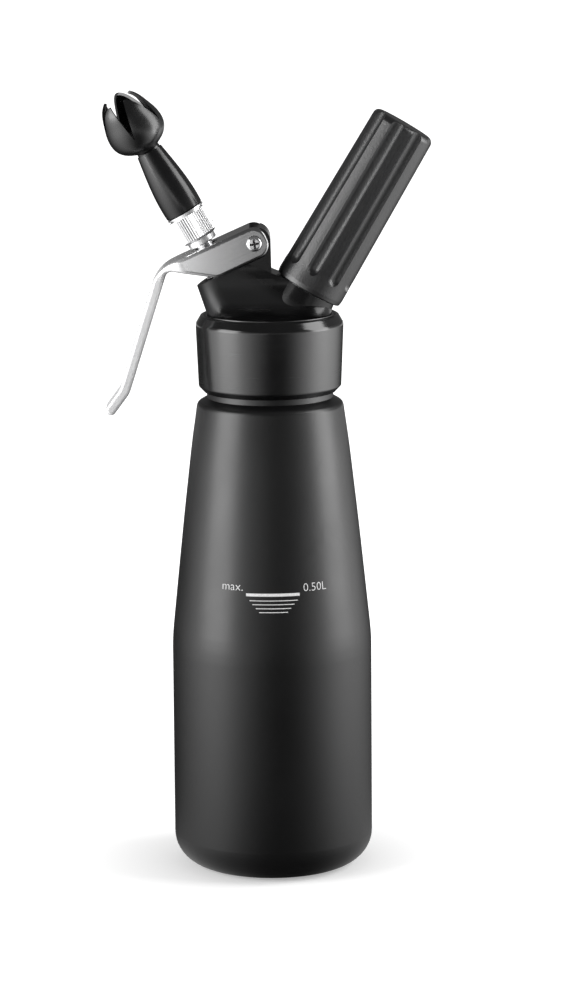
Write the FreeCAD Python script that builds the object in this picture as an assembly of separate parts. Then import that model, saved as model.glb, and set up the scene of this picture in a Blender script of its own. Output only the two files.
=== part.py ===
import FreeCAD, Part
import math
import os

# Whipped cream dispenser, half-litre. Millimetres, +Z up.
# The origin is the middle of the bottle's foot, on the plane that it stands on.
# The nozzle leans to -X and the charger holder to +X; both axes start from one point
# on the bottle's axis, called the apex, where the head's two bores would meet.

V = FreeCAD.Vector

# ---------------------------------------------------------------- driving dimensions
# bottle
bottle_r = 39.75            # cylindrical lower part, outside
bottle_wall = 1.3
bottle_floor = 2.6
foot_round = 12.8           # rounding between side and foot
foot_ring_r = 21.0          # inner edge of the flat ring that the bottle stands on
foot_dish = 1.0             # rise of the dished middle of the foot
knee_z = 93.0               # where the taper starts
waist_drop = 4.85           # taper: loss of radius from the knee to the waist
waist_rise = 46.0
upper_drop = 3.7            # from the waist to the upper side
upper_rise = 32.0
brow_drop = 2.3             # from the upper side to the shoulder
brow_rise = 16.2
ledge_rise = 2.2            # sloping ledge from the shoulder in to the neck ring
neck_ring_r = 25.0
neck_ring_h = 3.2
neck_step = 1.0             # the threaded neck is this much slimmer than its ring
neck_h = 17.2               # neck above its ring
neck_wall = 2.0

# head collar and casting
gasket_t = 2.3
gasket_gap = 0.1            # between the bottle's lip and the gasket
collar_r_low = 28.2
collar_r_high = 29.2
collar_drop = 18.2          # collar below the head's flange
collar_rise = 11.1          # collar above the flange's underside
collar_foot_bevel = 2.3
collar_edge_h = 6.6         # widest line of the collar above the flange's underside
collar_bore_gap = 0.4       # neck ring to collar
flange_step = 0.65          # ledge in the collar that the flange seats on
flange_t = 10.1
spigot_h = 5.7              # centring spigot inside the bottle's mouth
spigot_gap = 0.8
same_body_gap = 0.02        # pieces fixed to each other

# nozzle side: s is measured along the leaning axis from the apex
nozzle_lean = 30.0
apex_below_flange = 6.2
boss_top_s = 38.1
boss_top_r = 10.8
boss_flank = 18.6           # lean of the boss's outer flank from the upright, degrees
foot_r = 24.6               # the casting spreads to this radius at the flange
well_r = 6.7                # spring well in the boss
well_depth = 6.0
valve_seat_s = 4.5
valve_pocket_r = 7.0
valve_chamber_r = 5.0

# valve
stem_r = 3.5
stem_bore_r = 2.1
stem_plug_h = 4.0           # the stem is solid this far above its shoulder
stem_gap = 0.06             # running fit of the stem in its bush
seal_r = 6.0
seal_t = 3.2
seal_gap = 0.08             # rubber disc to its seat
seal_nut_r = 4.2
seal_nut_t = 3.0
gland_t = 3.4
ring_wire_r = 1.1           # rubber gland ring, radius of its round section
ring_gap = 0.06             # gland ring to its pocket
spring_r = 5.6              # middle of the spring's wire
spring_wire_r = 0.55
spring_turns = 6
spring_gap = 0.05           # spring's ends to the bush and the cap
cap_r = 7.4
cap_t = 1.3
cap_hub_r = 4.7
cap_hub_h = 2.8
cap_land_r = 4.6            # raised ring that the lever pushes on
cap_land_h = 0.45
cap_gap = 0.12              # smallest gap from the ring to the lever at rest

# lever
pivot_s = 42.0              # lever's pivot, along the nozzle axis from the apex
pivot_offset = 17.7         # and square to it, towards the holder
lever_slack = 6.0           # at rest the plate is this far from square to the stem
lever_throw = 9.0           # squeeze angle
lever_t = 1.5
cheek_r = 6.3               # half height of the cheeks at the pivot
cheek_end = 5.5             # cheeks end this far behind the pivot
cheek_half = 10.5           # half width over the two cheeks
handle_half = 7.0           # half width of the handle
plate_len = 39.2            # pivot to the bend
handle_turn = 48.35         # bend between plate and handle
handle_len = 49.8
handle_depth = 4.2
tip_turn = 19.0             # the tip turns out again
tip_len = 11.0
bend_r = 14.5
tip_bend_r = 12.0
cheek_low_x = 18.6          # deepest corner of the cheek, from the pivot
cheek_low_y = 6.6
taper_clear = 2.0           # the cheeks stay wide this far past the casting
taper_before_bend = 1.2     # and are slim this far before the bend
shortest_taper = 5.0
cheek_gap = 0.35            # cheek to casting
ear_root = 8.0              # the ear reaches this far down into the bridge
slot_gap = 0.7              # stem to the hole in the plate
barrel_r = 2.4
pivot_gap = 0.06            # running fit of the lever on the barrel
screw_r = 1.5
screw_head_r = 3.1
screw_head_t = 2.0
screw_end_room = 6.0        # the shank ends this far short of the far cheek
cross_w = 0.9
cross_len = 3.6
cross_turn = 10.0           # how far the screw happens to be turned, degrees

# adapter and nozzle
hub_r = 5.8
hub_gap = 0.55              # smallest gap from the lever's plate to the adapter's hub
hub_h = 2.4
adapter_r = 7.65
knurl_h = 9.5
knurl_teeth = 48
knurl_depth = 0.28
bevel_h = 1.0
groove_h = 0.8
groove_depth = 0.6
rim_h = 0.6
spigot_r = 4.9
adapter_spigot_h = 7.5
adapter_bore_r = 2.6
stem_in_adapter = 8.8
washer_t = 1.4
nozzle_gap = 0.15           # running clearance of nozzle on adapter
cone_r = 7.75
cone_len = 27.2
cone_top_r = 5.3
cone_bore_r = 3.2
crown_r = 11.6
crown_h = 25.6
crown_wall = 1.7
crown_tip_r = 5.9
crown_lean = 18.0           # the crown sits askew on its ball, leaning to the front
ball_r = 4.8
petals = 5
slot_foot = 11.3            # height where the slots between the petals start
slot_w = 5.8                # width of a slot at the petals' tips
petal_round = 0.7
first_slot = 46.4           # angle of the first slot about the crown's axis

# holder side: t is measured along the other leaning axis from the apex
holder_lean = 30.5
holder_foot_t = 30.3
holder_end_room = 1.65      # charger's end to the roof of the holder
holder_r_foot = 14.05
holder_r_top = 13.05
holder_round = 2.6
holder_bore_r = 9.35
holder_roof = 6.6
mouth_r = 11.0
mouth_depth = 11.2
flutes = 9
flute_r = 3.3
flute_depth = 1.6
flute_start = 5.9
first_flute = 17.3
holder_seat_gap = 0.3
boss2_r = 11.85
boss2_flare = 7.0
stub_h = 9.2
stub_gap = 0.35
charger_r = 9.0
charger_len = 66.0
charger_neck_r = 4.4
charger_neck_h = 9.0
charger_wall = 1.0
charger_end_r = 5.5         # rounding of the closed end
charger_shoulder_h = 5.0    # from the neck to the full width
charger_shoulder_r = 6.0
charger_seat_h = 0.5        # charger's seal above the casting's face
charger_gap = 0.25          # charger's neck to its seal
neck_pocket_gap = 0.5
pin_r = 4.0
pin_plug_h = 5.0
needle_r = 1.2
needle_h = 4.6
needle_bore_r = 0.45
pin_seal_t = 1.8
gas_x = 11.2                # vertical gas bore, from the bottle's axis
gas_r = 1.5
check_r = 2.9
check_stem_h = 4.8          # rubber stem of the check valve in the gas bore
check_barb_h = 1.0
check_cap_h = 1.6

# ---------------------------------------------------------------- derived heights
shoulder_z = knee_z + waist_rise + upper_rise + brow_rise
holder_len = charger_seat_h + charger_gap + charger_len + holder_end_room + holder_roof
shoulder_r = bottle_r - waist_drop - upper_drop - brow_drop
ring_z = shoulder_z + ledge_rise
neck_r = neck_ring_r - neck_step
mouth_z = ring_z + neck_ring_h + neck_h
gasket_z = mouth_z + gasket_gap
flange_z = gasket_z + gasket_t
flange_top = flange_z + flange_t
collar_bore = neck_ring_r + collar_bore_gap
flange_r = collar_bore + flange_step
mouth_bore_r = neck_r - neck_wall
head_spigot_r = mouth_bore_r - spigot_gap
apex_z = flange_z - apex_below_flange
gland_r = stem_r + stem_gap + 2 * ring_wire_r + ring_gap
stroke = math.radians(lever_throw) * pivot_offset


def lean_frame(degrees):
    """Placement that carries local +Z onto the axis leaning by degrees to +X, at the apex."""
    return FreeCAD.Placement(V(0, 0, apex_z), FreeCAD.Rotation(V(0, 1, 0), degrees))


nozzle_frame = lean_frame(-nozzle_lean)
holder_frame = lean_frame(holder_lean)


# ---------------------------------------------------------------- helpers
def rounded_wire(corners):
    """Closed outline in the XZ plane from corners (x, z) or (x, z, rounding radius)."""
    points = [V(c[0], 0, c[1]) for c in corners]
    radii = [c[2] if len(c) > 2 else 0.0 for c in corners]
    count = len(points)
    starts, ends, arcs = [], [], []
    for i, here in enumerate(points):
        before = (points[i - 1] - here).normalize()
        after = (points[(i + 1) % count] - here).normalize()
        half = before.getAngle(after) / 2
        if radii[i] <= 0 or abs(half - math.pi / 2) < 1e-4:
            starts.append(here)
            ends.append(here)
            arcs.append(None)
            continue
        run = radii[i] / math.tan(half)
        middle = (before + after).normalize()
        top = here + middle * (radii[i] / math.sin(half) - radii[i])
        starts.append(here + before * run)
        ends.append(here + after * run)
        arcs.append(top)
    edges = []
    for i in range(count):
        if arcs[i] is not None:
            edges.append(Part.Arc(starts[i], arcs[i], ends[i]).toShape())
        following = starts[(i + 1) % count]
        if ends[i].distanceToPoint(following) > 1e-6:
            edges.append(Part.LineSegment(ends[i], following).toShape())
    return Part.Wire(edges)


def turned(corners):
    """Solid of revolution about Z from an outline in the XZ half plane."""
    return Part.Face(rounded_wire(corners)).revolve(V(0, 0, 0), V(0, 0, 1), 360)


def slab(corners, half_width):
    """Outline in the XZ plane, extruded to both sides of it."""
    face = Part.Face(rounded_wire(corners))
    face.translate(V(0, -half_width, 0))
    return face.extrude(V(0, 2 * half_width, 0))


def rod(radius, low, high):
    return Part.makeCylinder(radius, high - low, V(0, 0, low))


def tube(outer, inner, low, high):
    return rod(outer, low, high).cut(rod(inner, low - 1, high + 1))


def placed(shape, frame):
    """Copy of a shape built along +Z, carried into a leaning frame."""
    moved = shape.copy()
    moved.Placement = frame.multiply(moved.Placement)
    return moved


def step_to(point, angle, length):
    """Point reached from another by a run at an angle (degrees) in a plane outline."""
    a = math.radians(angle)
    return (point[0] + length * math.cos(a), point[1] + length * math.sin(a))


def meet(p, p_angle, q, q_angle):
    """Crossing of two lines in a plane outline, each given by a point and an angle."""
    a, b = math.radians(p_angle), math.radians(q_angle)
    turn = math.cos(a) * math.sin(b) - math.sin(a) * math.cos(b)
    run = ((q[0] - p[0]) * math.sin(b) - (q[1] - p[1]) * math.cos(b)) / turn
    return step_to(p, p_angle, run)


def one_solid(shape):
    """The clean single solid of a boolean's result."""
    shape = shape.removeSplitter()
    return shape.Solids[0] if len(shape.Solids) == 1 else shape


# ---------------------------------------------------------------- bottle
def bottle_side(inset):
    """Side corners from the foot's rounding up to the shoulder, inset by a wall."""
    waist = (bottle_r - waist_drop, knee_z + waist_rise)
    upper = (waist[0] - upper_drop, waist[1] + upper_rise)
    return [
        (bottle_r - inset, knee_z, 90.0),
        (waist[0] - inset, waist[1], 1500.0),
        (upper[0] - inset, upper[1], 400.0),
    ]


def make_bottle():
    shoulder_round = 2.6
    lip_round = 0.8
    outside = [(0, foot_dish), (foot_ring_r - 2.5, foot_dish, 3.0), (foot_ring_r, 0, 0.6)]
    outside += [(bottle_r, 0, foot_round)] + bottle_side(0)
    outside += [
        (shoulder_r, shoulder_z, shoulder_round),
        (neck_ring_r, ring_z),
        (neck_ring_r, ring_z + neck_ring_h, 0.4),
        (neck_r, ring_z + neck_ring_h + neck_step * 0.6),
        (neck_r, mouth_z, lip_round),
    ]
    inner_round = foot_round - bottle_wall
    throat_z = shoulder_z - 3.0
    inside = [
        (mouth_bore_r, mouth_z, lip_round),
        (mouth_bore_r, ring_z - 0.4, 2.0),
        (shoulder_r - bottle_wall - 0.2, throat_z, 3.0),
    ]
    inside += list(reversed(bottle_side(bottle_wall)))
    inside += [(bottle_r - bottle_wall, bottle_floor, inner_round), (0, bottle_floor)]
    return turned(outside + inside)


# ---------------------------------------------------------------- head: collar and casting
def make_collar():
    top = flange_z + collar_rise
    low = flange_z - collar_drop - collar_foot_bevel
    edge = flange_z + collar_edge_h
    return turned([
        (collar_bore, low + 0.3),
        (collar_bore + 0.3, low),
        (collar_bore + 0.6, low, 0.3),
        (collar_r_low, low + collar_foot_bevel, 0.8),
        (collar_r_high, edge, 2.2),
        (flange_r + 0.5, top, 1.2),
        (flange_r + same_body_gap, top - 0.7),
        (flange_r + same_body_gap, flange_z),
        (collar_bore, flange_z),
    ])


def lever_point(point, angle=0.0):
    """World place (x, z) of a point given from the pivot, along and above the plate."""
    pivot = pivot_place()
    slope = math.radians(nozzle_lean - lever_slack + angle)
    x = pivot[0] - point[0] * math.cos(slope) - point[1] * math.sin(slope)
    z = pivot[1] - point[0] * math.sin(slope) + point[1] * math.cos(slope)
    return (x, z)


def pivot_place():
    lean = math.radians(nozzle_lean)
    x = -pivot_s * math.sin(lean) + pivot_offset * math.cos(lean)
    z = apex_z + pivot_s * math.cos(lean) + pivot_offset * math.sin(lean)
    return (x, z)


def nozzle_point(s, side):
    """World place (x, z) at s along the nozzle axis and side square to it, + to the holder."""
    lean = math.radians(nozzle_lean)
    return (-s * math.sin(lean) + side * math.cos(lean),
            apex_z + s * math.cos(lean) + side * math.sin(lean))


def holder_point(t, side):
    """World place (x, z) at t along the holder axis and side square to it, + away from the nozzle."""
    lean = math.radians(holder_lean)
    return (t * math.sin(lean) + side * math.cos(lean),
            apex_z + t * math.cos(lean) - side * math.sin(lean))


def ear_shape():
    """Ear between the cheeks: round about the pivot, cut back under the lever's plate."""
    pivot = pivot_place()
    ear_r = cheek_r - 0.1
    half = cheek_half - lever_t - cheek_gap
    right = pivot[0] + ear_r
    foot_z = holder_point(holder_foot_t, -boss2_r)[1]
    left_foot = nozzle_point(boss_top_s, boss_top_r - 2.2)
    left = pivot[0] - ear_r + 0.4
    ear = slab([
        (left, pivot[1] + ear_r, ear_r - 0.6),
        (right, pivot[1] + ear_r, ear_r - 0.6),
        (right + 0.4, foot_z, 1.5),
        (right + cheek_r, foot_z - ear_root),
        (left_foot[0], left_foot[1] - ear_root),
        (left_foot[0], left_foot[1] + 0.5),
        (left, left_foot[1] + 3.0),
    ], half)
    under = cheek_r - lever_t - 0.4
    for angle in (0.0, lever_throw):
        reach = 30.0
        corners = [(-reach, under), (reach, under), (reach, reach), (-reach, reach)]
        ear = ear.cut(slab([lever_point(c, angle) for c in corners], half + 1))
    return ear


def oval(left, right, half, z):
    """Horizontal outline with round ends, from left to right of the bottle's axis."""
    a, b = left + half, right - half
    if b - a < 0.2:
        a, b = (a + b) / 2 - 0.1, (a + b) / 2 + 0.1
    return Part.Wire([
        Part.LineSegment(V(a, -half, z), V(b, -half, z)).toShape(),
        Part.Arc(V(b, -half, z), V(b + half, 0, z), V(b, half, z)).toShape(),
        Part.LineSegment(V(b, half, z), V(a, half, z)).toShape(),
        Part.Arc(V(a, half, z), V(a - half, 0, z), V(a, -half, z)).toShape(),
    ])


def make_bridge():
    """Body of the casting: a narrow bridge over both bosses that sweeps out to the flange."""
    slim = cheek_half - lever_t - cheek_gap
    knee = lever_point((cheek_low_x, -cheek_low_y), lever_throw)[1] - 0.4
    rise = knee - flange_top
    flank = math.tan(math.radians(boss_flank))
    corner = nozzle_point(boss_top_s, -boss_top_r)
    ovals = []
    for share in (0.985, 0.9, 0.75, 0.55, 0.32, 0.12):
        half = foot_r - (foot_r - slim) * math.sqrt(1 - share ** 2)
        ovals.append((knee - share * rise, half))
    ovals += [(knee + 2.0, slim), (knee + 8.0, slim), (knee + 18.0, slim)]
    wires = []
    for z, half in ovals:
        left = corner[0] - (z - corner[1]) * flank
        wires.append(oval(left, foot_r, half, z))
    body = Part.makeLoft(wires, True, False)
    # faces of the two bosses and the saddle between them
    seat_t = holder_foot_t - holder_seat_gap
    saddle = holder_point(seat_t, -boss2_r - 1.0)
    top = slab([
        nozzle_point(boss_top_s, -2 * boss_top_r),
        nozzle_point(boss_top_s, boss_top_r - 1.0),
        (saddle[0], saddle[1] - 0.3, 1.2),
        holder_point(seat_t, -boss2_r + 1.0),
        holder_point(seat_t, 2 * boss2_r),
        (2 * foot_r, flange_top - 2.0),
        (-2 * foot_r, flange_top - 2.0),
    ], 2 * foot_r)
    return body.common(top)


def make_casting():
    seat_t = holder_foot_t - holder_seat_gap
    flare2 = math.tan(math.radians(boss2_flare))
    boss2 = Part.makeCone(boss2_r + seat_t * flare2, boss2_r, seat_t)
    above = rod(foot_r + 0.6, flange_top - 3.0, flange_top + seat_t + stub_h)
    body = make_bridge().fuse(placed(boss2, holder_frame).common(above))
    flange = turned([
        (0, flange_z),
        (flange_r, flange_z),
        (flange_r, flange_top - 0.8, 0.6),
        (flange_r - 0.9, flange_top, 0.6),
        (foot_r - 1.6, flange_top + 0.22),
        (0, flange_top + 0.22),
    ])
    spigot = rod(head_spigot_r, flange_z - spigot_h, flange_z)
    body = body.fuse([flange, spigot, ear_shape()])
    # threaded stub for the holder, with the pocket for the charger's neck
    stub_r = mouth_r - stub_gap
    stub = turned([(0, seat_t - 2), (stub_r, seat_t - 2), (stub_r, seat_t + stub_h, 0.7), (0, seat_t + stub_h)])
    body = body.fuse(placed(stub, holder_frame))
    # valve side: spring well, gland, chamber, seat and pocket in the spigot
    well_s = boss_top_s - well_depth
    gland_s = well_s - gland_t
    ring_s = gland_s - 2 * ring_wire_r - 0.1
    for shape in (
        rod(well_r, well_s, pivot_s + cheek_r),
        rod(gland_r + same_body_gap, ring_s, well_s + 1),
        rod(valve_chamber_r, valve_seat_s - 1, ring_s - 1.2),
        rod(stem_r + stem_gap, ring_s - 2, ring_s + 1),
        rod(valve_pocket_r, valve_seat_s - 2 * head_spigot_r, valve_seat_s),
    ):
        body = body.cut(placed(shape, nozzle_frame))
    # gas side: neck pocket, seat of the pin, chamber under it and the vertical gas bore
    pocket_r = charger_neck_r + neck_pocket_gap
    plug_s = charger_seat_t() - pin_seal_t - pin_plug_h
    chamber_t = gas_x / math.sin(math.radians(holder_lean)) - gas_r - 1.2
    for shape in (
        rod(pocket_r, charger_seat_t() - pin_seal_t, seat_t + stub_h + 1),
        rod(pin_r + same_body_gap, plug_s, charger_seat_t()),
        rod(gas_r, chamber_t, plug_s + 1),
    ):
        body = body.cut(placed(shape, holder_frame))
    bore_top = apex_z + (gas_x + 0.5) / math.tan(math.radians(holder_lean))
    body = body.cut(Part.makeCylinder(gas_r, bore_top - flange_z + spigot_h + 2,
                                      V(gas_x, 0, flange_z - spigot_h - 2)))
    pivot = pivot_place()
    body = body.cut(Part.makeCylinder(barrel_r + same_body_gap, 4 * cheek_half,
                                      V(pivot[0], -2 * cheek_half, pivot[1]), V(0, 1, 0)))
    return one_solid(body)


def make_head_gasket():
    inner = head_spigot_r + same_body_gap
    outer = neck_r + 0.4
    return tube(outer, inner, gasket_z, flange_z)


# ---------------------------------------------------------------- valve
def plate_under_s():
    """Where the nozzle axis meets the underside of the lever's plate at rest."""
    a = math.radians(lever_slack)
    return pivot_s + (cheek_r - lever_t + pivot_offset * math.sin(a)) / math.cos(a)


def plate_top_s():
    return plate_under_s() + lever_t / math.cos(math.radians(lever_slack))


def cap_top_s():
    return plate_under_s() - cap_gap - cap_land_r * math.tan(math.radians(lever_slack))


def hub_s():
    return plate_top_s() + hub_gap + hub_r * math.tan(math.radians(lever_slack))


def seal_top_s():
    return valve_seat_s - seal_gap


def make_stem():
    foot = seal_top_s() - seal_t
    top = hub_s() + stem_in_adapter
    shoulder = seal_top_s()
    stem = turned([
        (0, foot - seal_nut_t - 0.6),
        (1.6, foot - seal_nut_t - 0.6),
        (2.0, foot - seal_nut_t - 0.2),
        (2.0, shoulder),
        (3.4, shoulder),
        (3.4, shoulder + 1.0),
        (stem_r, shoulder + 1.6),
        (stem_r, top, 0.3),
        (0, top),
    ])
    bore_foot = shoulder + stem_plug_h
    stem = stem.cut(rod(stem_bore_r, bore_foot, top + 1))
    cross = Part.makeCylinder(1.5, 4 * stem_r, V(-2 * stem_r, 0, bore_foot + 2.2), V(1, 0, 0))
    return one_solid(placed(stem.cut(cross), nozzle_frame))


def make_spring_cap():
    top = cap_top_s()
    under = top - cap_land_h - cap_t
    bore = stem_r + same_body_gap
    return placed(turned([
        (bore, under - cap_hub_h),
        (cap_hub_r, under - cap_hub_h, 0.5),
        (cap_hub_r, under),
        (cap_r, under, 0.3),
        (cap_r, top - cap_land_h, 0.4),
        (cap_land_r + 0.4, top - cap_land_h),
        (cap_land_r, top, 0.2),
        (bore, top),
    ]), nozzle_frame)


def make_spring():
    """Coil of half turns, each tilted so that the next one runs on smoothly from its end."""
    low = boss_top_s - well_depth + spring_wire_r + spring_gap
    high = cap_top_s() - cap_land_h - cap_t - spring_wire_r - spring_gap
    rise = (high - low) / (2 * spring_turns)
    tilt = math.atan(rise / (2 * spring_r))
    half_turn = Part.makeTorus(spring_r / math.cos(tilt), spring_wire_r, V(0, 0, 0), V(0, 0, 1), 0, 360, 180)
    half_turn.rotate(V(0, 0, 0), V(0, 1, 0), math.degrees(tilt))
    coil = []
    for i in range(2 * spring_turns):
        part = half_turn.copy()
        part.rotate(V(0, 0, 0), V(0, 0, 1), 180 * i)
        part.translate(V(0, 0, low + rise * (i + 0.5)))
        coil.append(part)
    return placed(one_solid(coil[0].fuse(coil[1:])), nozzle_frame)


def make_gland_bush():
    top = boss_top_s - well_depth
    return placed(tube(gland_r, stem_r + stem_gap, top - gland_t, top - 0.02), nozzle_frame)


def make_gland_ring():
    middle_s = boss_top_s - well_depth - gland_t - ring_wire_r - 0.05
    middle_r = stem_r + stem_gap + ring_wire_r
    return placed(Part.makeTorus(middle_r, ring_wire_r, V(0, 0, middle_s)), nozzle_frame)


def make_valve_seal():
    top = seal_top_s()
    return placed(turned([
        (2.0 + same_body_gap, top - seal_t),
        (seal_r - 1.2, top - seal_t, 0.4),
        (seal_r, top - 1.2, 0.4),
        (seal_r, top, 0.2),
        (2.0 + same_body_gap, top),
    ]), nozzle_frame)


def make_seal_nut():
    top = seal_top_s() - seal_t
    hexagon = Part.makePolygon([
        V(seal_nut_r * math.cos(math.radians(60 * i)), seal_nut_r * math.sin(math.radians(60 * i)), top - seal_nut_t)
        for i in range(7)
    ])
    nut = Part.Face(hexagon).extrude(V(0, 0, seal_nut_t))
    return placed(nut.cut(rod(2.0 + same_body_gap, top - seal_nut_t - 1, top + 1)), nozzle_frame)


# ---------------------------------------------------------------- lever
def lever_outline(inset):
    """Outer line of plate, handle and tip from the pivot's side, inset by a thickness."""
    top = cheek_r - inset
    handle_angle = -handle_turn
    tip_angle = handle_angle + tip_turn
    bend = (plate_len, cheek_r)
    tip_bend = step_to(bend, handle_angle, handle_len)
    tip = step_to(tip_bend, tip_angle, tip_len)
    handle_line = step_to(bend, handle_angle - 90, inset)
    tip_line = step_to(tip_bend, tip_angle - 90, inset)
    end_line = step_to(tip, tip_angle + 180, inset)
    bend_in = meet((0, top), 0, handle_line, handle_angle)
    tip_bend_in = meet(handle_line, handle_angle, tip_line, tip_angle)
    end_in = meet(tip_line, tip_angle, end_line, tip_angle - 90)
    return bend_in, tip_bend_in, end_in, tip_angle, handle_angle


def lever_side():
    """Side view of the whole lever, as seen before the channel is opened."""
    bend, tip_bend, tip, tip_angle, handle_angle = lever_outline(0)
    round_end = handle_depth / 2 - 0.05
    inner_end = step_to(tip, tip_angle - 90, handle_depth)
    handle_inner = step_to(bend, handle_angle - 90, handle_depth)
    tip_inner = meet(handle_inner, handle_angle, inner_end, tip_angle)
    low = (cheek_low_x, -cheek_low_y)
    cheek_end_angle = 32.0
    notch = meet(low, cheek_end_angle, handle_inner, handle_angle)
    return [
        (-cheek_end, cheek_r, cheek_end),
        (bend[0], bend[1], bend_r),
        (tip_bend[0], tip_bend[1], tip_bend_r),
        (tip[0], tip[1], round_end),
        (inner_end[0], inner_end[1], round_end),
        (tip_inner[0], tip_inner[1], tip_bend_r),
        (notch[0], notch[1], 3.0),
        (low[0], low[1], 6.0),
        (-cheek_end, -cheek_r, cheek_end),
    ]


def lever_channel():
    """Side view of the room inside the channel: open below, closed by plate and tip."""
    bend, tip_bend, tip, tip_angle, handle_angle = lever_outline(lever_t)
    plate_end = -0.6
    beyond = 3 * cheek_r
    inner_end = step_to(tip, tip_angle - 90, handle_depth)
    return [
        (-beyond, beyond),
        (plate_end, beyond),
        (plate_end, cheek_r - lever_t),
        (bend[0], bend[1], bend_r - lever_t),
        (tip_bend[0], tip_bend[1], tip_bend_r + lever_t),
        (tip[0], tip[1], handle_depth / 2 - lever_t),
        (inner_end[0], inner_end[1]),
        (inner_end[0] - beyond, inner_end[1] - beyond / 4),
        (cheek_low_x, -beyond),
        (-beyond, -beyond),
    ]


def lever_plan(inset):
    """Plan view of the lever: wide over the cheeks, slim along the handle."""
    wide, slim = cheek_half - inset, handle_half - inset
    far = plate_len + handle_len + tip_len
    near = -2 * cheek_r
    taper_start = pivot_offset + boss_top_r + taper_clear
    taper_end = max(plate_len - taper_before_bend, taper_start + shortest_taper)
    return [
        (near, wide), (taper_start, wide, 9.0), (taper_end, slim, 12.0), (far, slim),
        (far, -slim), (taper_end, -slim, 12.0), (taper_start, -wide, 9.0), (near, -wide),
    ]


def plan_block(inset):
    """The plan outline extruded square to the plate."""
    tall = plate_len + handle_len
    face = Part.Face(rounded_wire(lever_plan(inset)))
    face.rotate(V(0, 0, 0), V(1, 0, 0), 90)
    face.translate(V(0, 0, -tall))
    return face.extrude(V(0, 0, 2 * tall))


def make_lever():
    """Built about the pivot with +X along the plate and +Z above it, then set in place."""
    block = slab(lever_side(), 2 * cheek_half).common(plan_block(0))
    bend, tip_bend, tip = lever_outline(0)[:3]
    outer = [(-1.0, cheek_r), (bend[0], bend[1]), (tip_bend[0], tip_bend[1]), (tip[0], tip[1])]
    # the pressed bends between plate and cheeks
    skin = Part.Wire(Part.makePolygon([V(x, 0, z) for x, z in outer]))
    bends = []
    for edge in block.Edges:
        middle = edge.valueAt((edge.FirstParameter + edge.LastParameter) / 2)
        ends = [v.Point for v in edge.Vertexes]
        along = abs(ends[0].y) > slab_edge_min() and abs(ends[-1].y) > slab_edge_min()
        near = Part.Vertex(V(middle.x, 0, middle.z)).distToShape(skin)[0] < 1.8
        if along and near and abs(middle.y) > slab_edge_min() and middle.x > -1.0:
            bends.append(edge)
    block = block.makeFillet(lever_t * 0.9, bends)
    channel = slab(lever_channel(), 2 * cheek_half).common(plan_block(lever_t))
    lever = block.cut(channel)
    lever = lever.cut(Part.makeCylinder(barrel_r + pivot_gap, 4 * cheek_half,
                                        V(0, -2 * cheek_half, 0), V(0, 1, 0)))
    # slotted hole for the stem, long enough for the whole squeeze
    reach = []
    for angle in (lever_slack, lever_slack - lever_throw):
        a = math.radians(angle)
        height = cheek_r - lever_t / 2
        reach.append((pivot_offset + height * math.sin(a)) / math.cos(a))
    hole_r = stem_r + slot_gap
    hole = None
    for x in (min(reach) - 0.1, max(reach) + 0.1):
        drill = Part.makeCylinder(hole_r, 4 * cheek_r, V(x, 0, 0))
        hole = drill if hole is None else hole.fuse(drill)
    span = max(reach) - min(reach) + 0.2
    hole = hole.fuse(Part.makeBox(span, 2 * hole_r, 4 * cheek_r, V(min(reach) - 0.1, -hole_r, 0)))
    lever = one_solid(lever.cut(hole))
    pivot = pivot_place()
    slope = nozzle_lean - lever_slack
    lever.rotate(V(0, 0, 0), V(0, 0, 1), 180)
    lever.rotate(V(0, 0, 0), V(0, 1, 0), -slope)
    lever.translate(V(pivot[0], 0, pivot[1]))
    return lever


def slab_edge_min():
    return handle_half - 0.5


def make_pivot_nut():
    """Barrel nut, the lever's axle: entered from the back, with a slotted pan head."""
    pivot = pivot_place()
    length = 2 * cheek_half + 0.2
    barrel = turned([
        (screw_r, 0),
        (barrel_r, 0, 0.2),
        (barrel_r, length),
        (screw_head_r, length),
        (screw_head_r, length + screw_head_t, 1.2),
        (0, length + screw_head_t),
        (0, length - 3.0),
        (screw_r, length - 3.0),
    ])
    slot = Part.makeBox(2 * screw_head_r + 1, 0.8, 2.0,
                        V(-screw_head_r - 0.5, -0.4, length + screw_head_t - 0.9))
    barrel = one_solid(barrel.cut(slot))
    barrel.rotate(V(0, 0, 0), V(1, 0, 0), -90)
    barrel.translate(V(pivot[0], -length / 2, pivot[1]))
    return barrel


def make_pivot_screw():
    """Cross-head pan screw, entered from the front into the barrel."""
    pivot = pivot_place()
    length = 2 * cheek_half + 0.2
    shank = length - screw_end_room
    screw = turned([
        (0, -shank),
        (screw_r - same_body_gap, -shank, 0.4),
        (screw_r - same_body_gap, 0.0),
        (screw_head_r, 0.0),
        (screw_head_r, screw_head_t, 1.3),
        (0, screw_head_t),
    ])
    for angle in (cross_turn, cross_turn + 90):
        arm = Part.makeBox(cross_len, cross_w, 1.3, V(-cross_len / 2, -cross_w / 2, screw_head_t - 1.1))
        arm.rotate(V(0, 0, 0), V(0, 0, 1), angle)
        screw = screw.cut(arm)
    screw = one_solid(screw)
    screw.rotate(V(0, 0, 0), V(1, 0, 0), 90)
    screw.translate(V(pivot[0], -length / 2, pivot[1]))
    return screw


# ---------------------------------------------------------------- adapter and nozzle
def adapter_heights():
    """Hub, nut, knurl, groove, rim and spigot of the adapter, as places on the axis."""
    foot = hub_s()
    nut = foot + hub_h
    knurl_top = nut + bevel_h + knurl_h
    rim = knurl_top + groove_h
    top = rim + rim_h
    return foot, nut, knurl_top, rim, top


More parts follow.
